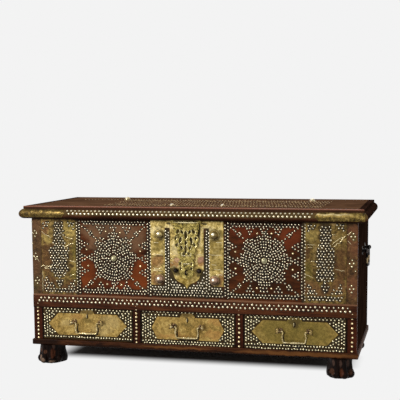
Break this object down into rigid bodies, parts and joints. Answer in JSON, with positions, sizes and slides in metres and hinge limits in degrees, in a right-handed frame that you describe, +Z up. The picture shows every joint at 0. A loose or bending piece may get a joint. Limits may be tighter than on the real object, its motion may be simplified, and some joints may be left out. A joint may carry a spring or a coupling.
{
  "type": "arabic dowry chest",
  "caption": "Wooden dowry chest on carved paw feet: brass-studded front, moulded hinged lid with a pierced hasp, drawers with bail pulls under the well, and carrying handles on the ends.",
  "frame": {"origin": "on the floor under the middle of the whole object, as far from the front moulding as from the hinge barrels", "axes": "+X across the front to the right as one faces it, +Y from the front to the back, +Z up"},
  "size_m": [1.271, 0.5706, 0.603],
  "materials": {
    "panel_wood": "dark polished hardwood",
    "back_wood": "plain waxed hardwood",
    "end_wood": "dark polished hardwood",
    "inner_wood": "plain sawn hardwood",
    "rail_wood": "dark polished hardwood",
    "plinth_wood": "dark polished hardwood",
    "foot_wood": "dark carved hardwood",
    "lid_wood": "dark polished hardwood",
    "drawer_wood": "dark polished hardwood",
    "sheet_brass": "aged beaten sheet",
    "copper_patina": "coppery aged sheet",
    "strap_brass": "rubbed sheet",
    "drawer_brass": "aged sheet",
    "cast_brass": "aged casting",
    "hasp_brass": "aged pierced casting",
    "pull_brass": "aged casting",
    "hinge_brass": "dull sheet",
    "iron_work": "dark iron"
  },
  "bodies": {
    "chest": {"front_panel": "panel_wood", "back_panel": "back_wood", "left_end": "end_wood", "right_end": "end_wood", "chest_floor": "inner_wood", "bottom_board": "inner_wood", "drawer_rail": "rail_wood", "corner_stiles": "rail_wood", "muntins": "rail_wood", "partitions": "inner_wood", "drawer_guides": "inner_wood", "plinth_front": "plinth_wood", "plinth_ends": "plinth_wood", "foot_front_left": "foot_wood", "foot_front_right": "foot_wood", "foot_back_left": "foot_wood", "foot_back_right": "foot_wood", "corner_straps": "copper_patina", "strip_sheets": "sheet_brass", "side_sheets": "sheet_brass", "lock_plate": "sheet_brass", "lock_bosses": "cast_brass", "medallion_bosses": "cast_brass", "staple": "iron_work", "hinge_leaves": "hinge_brass", "hinge_pins": "iron_work", "carry_posts": "cast_brass"},
    "lid": {"lid_board": "lid_wood", "lid_moulding_front": "lid_wood", "lid_moulding_left": "lid_wood", "lid_moulding_right": "lid_wood", "lid_straps": "strap_brass", "lid_bosses": "cast_brass", "hinge_straps": "hinge_brass", "hasp_bracket": "cast_brass", "hasp_pin": "iron_work"},
    "hasp": {"hasp": "hasp_brass"},
    "drawer_left": {"drawer_left_front": "drawer_wood", "drawer_left_frame": "inner_wood", "drawer_left_bottom": "inner_wood", "drawer_left_lock": "iron_work", "drawer_left_plate": "drawer_brass", "pull_left_posts": "pull_brass"},
    "bail_left": {"pull_left_bail": "pull_brass"},
    "drawer_centre": {"drawer_centre_front": "drawer_wood", "drawer_centre_frame": "inner_wood", "drawer_centre_bottom": "inner_wood", "drawer_centre_lock": "iron_work", "drawer_centre_plate": "drawer_brass", "pull_centre_posts": "pull_brass"},
    "bail_centre": {"pull_centre_bail": "pull_brass"},
    "drawer_right": {"drawer_right_front": "drawer_wood", "drawer_right_frame": "inner_wood", "drawer_right_bottom": "inner_wood", "drawer_right_lock": "iron_work", "drawer_right_plate": "drawer_brass", "pull_right_posts": "pull_brass"},
    "bail_right": {"pull_right_bail": "pull_brass"},
    "carry_left": {"carry_left_bail": "cast_brass"},
    "carry_right": {"carry_right_bail": "cast_brass"}
  },
  "joints": [
    {"name": "lid_hinge", "type": "hinge", "parent": "chest", "child": "lid", "pos_m": [0, 0.27935, 0.566], "axis": [-1, 0, 0], "range_deg": [0, 100]},
    {"name": "hasp_swing", "type": "hinge", "parent": "lid", "child": "hasp", "pos_m": [-0.005, -0.25565, 0.5367], "axis": [-1, 0, 0], "range_deg": [0, 85]},
    {"name": "drawer_left_slide", "type": "slide", "parent": "chest", "child": "drawer_left", "axis": [0, -1, 0], "range_m": [0, 0.36]},
    {"name": "pull_left_swing", "type": "hinge", "parent": "drawer_left", "child": "bail_left", "pos_m": [-0.3885, -0.26165, 0.1585], "axis": [-1, 0, 0], "range_deg": [0, 85]},
    {"name": "drawer_centre_slide", "type": "slide", "parent": "chest", "child": "drawer_centre", "axis": [0, -1, 0], "range_m": [0, 0.36]},
    {"name": "pull_centre_swing", "type": "hinge", "parent": "drawer_centre", "child": "bail_centre", "pos_m": [-0.005, -0.26165, 0.1585], "axis": [-1, 0, 0], "range_deg": [0, 85]},
    {"name": "drawer_right_slide", "type": "slide", "parent": "chest", "child": "drawer_right", "axis": [0, -1, 0], "range_m": [0, 0.36]},
    {"name": "pull_right_swing", "type": "hinge", "parent": "drawer_right", "child": "bail_right", "pos_m": [0.3835, -0.26165, 0.1585], "axis": [-1, 0, 0], "range_deg": [0, 85]},
    {"name": "carry_left_swing", "type": "hinge", "parent": "chest", "child": "carry_left", "pos_m": [-0.617, 0.01135, 0.425], "axis": [0, 1, 0], "range_deg": [0, 85]},
    {"name": "carry_right_swing", "type": "hinge", "parent": "chest", "child": "carry_right", "pos_m": [0.617, 0.01135, 0.425], "axis": [0, -1, 0], "range_deg": [0, 85]}
  ]
}
